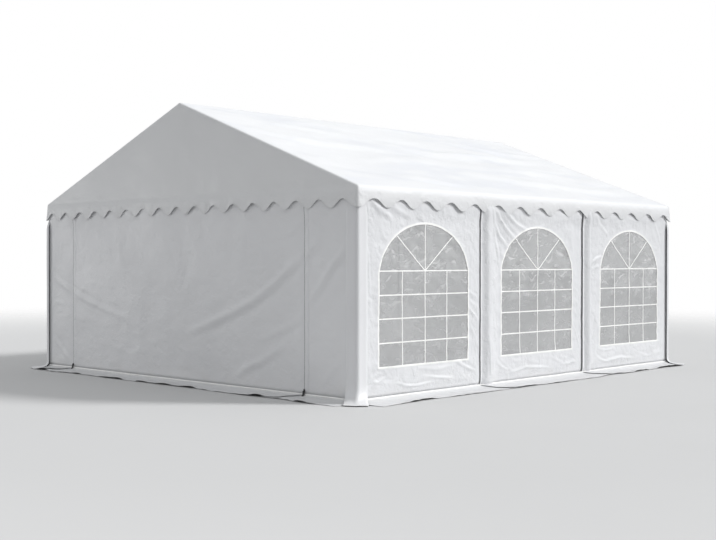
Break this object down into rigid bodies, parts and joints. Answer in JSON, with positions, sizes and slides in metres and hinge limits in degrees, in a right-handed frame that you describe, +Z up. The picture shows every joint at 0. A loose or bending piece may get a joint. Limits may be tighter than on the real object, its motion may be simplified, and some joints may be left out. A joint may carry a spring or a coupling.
{
  "type": "marquee tent",
  "caption": "Gabled party marquee with white PVC cover, scalloped valances, arched window walls and zipped gable walls on a steel tube frame.",
  "frame": {"origin": "on the ground, under the middle of the tent", "axes": "+Z up; +Y along the ridge, from the front gable to the back one; +X to the right-hand window wall, seen from the front gable"},
  "size_m": [5.48, 6.48, 2.9999],
  "materials": {
    "galvanised steel": "hot-dip galvanised tube, dull spangle",
    "roof pvc": "white PVC-coated polyester, satin",
    "wall pvc": "white PVC-coated polyester, satin",
    "window film": "clear soft PVC film, slightly cloudy"
  },
  "bodies": {
    "root": {"ridge_rail": "galvanised steel", "left_eave_rail": "galvanised steel", "left_leg_1": "galvanised steel", "left_rafter_1": "galvanised steel", "left_leg_2": "galvanised steel", "left_rafter_2": "galvanised steel", "left_leg_3": "galvanised steel", "left_rafter_3": "galvanised steel", "left_leg_4": "galvanised steel", "left_rafter_4": "galvanised steel", "left_roof_slope": "roof pvc", "left_valance": "roof pvc", "left_window_wall_1": "wall pvc", "left_window_film_1": "window film", "left_window_wall_2": "wall pvc", "left_window_film_2": "window film", "left_window_wall_3": "wall pvc", "left_window_film_3": "window film", "left_ground_skirt": "wall pvc", "right_eave_rail": "galvanised steel", "right_leg_1": "galvanised steel", "right_rafter_1": "galvanised steel", "right_leg_2": "galvanised steel", "right_rafter_2": "galvanised steel", "right_leg_3": "galvanised steel", "right_rafter_3": "galvanised steel", "right_leg_4": "galvanised steel", "right_rafter_4": "galvanised steel", "right_roof_slope": "roof pvc", "right_valance": "roof pvc", "right_window_wall_1": "wall pvc", "right_window_film_1": "window film", "right_window_wall_2": "wall pvc", "right_window_film_2": "window film", "right_window_wall_3": "wall pvc", "right_window_film_3": "window film", "right_ground_skirt": "wall pvc", "front_gable": "roof pvc", "front_wall_strip_1": "wall pvc", "front_door_curtain": "wall pvc", "front_wall_strip_2": "wall pvc", "front_ground_skirt": "wall pvc", "back_gable": "roof pvc", "back_wall_strip_1": "wall pvc", "back_door_curtain": "wall pvc", "back_wall_strip_2": "wall pvc", "back_ground_skirt": "wall pvc"}
  },
  "joints": []
}
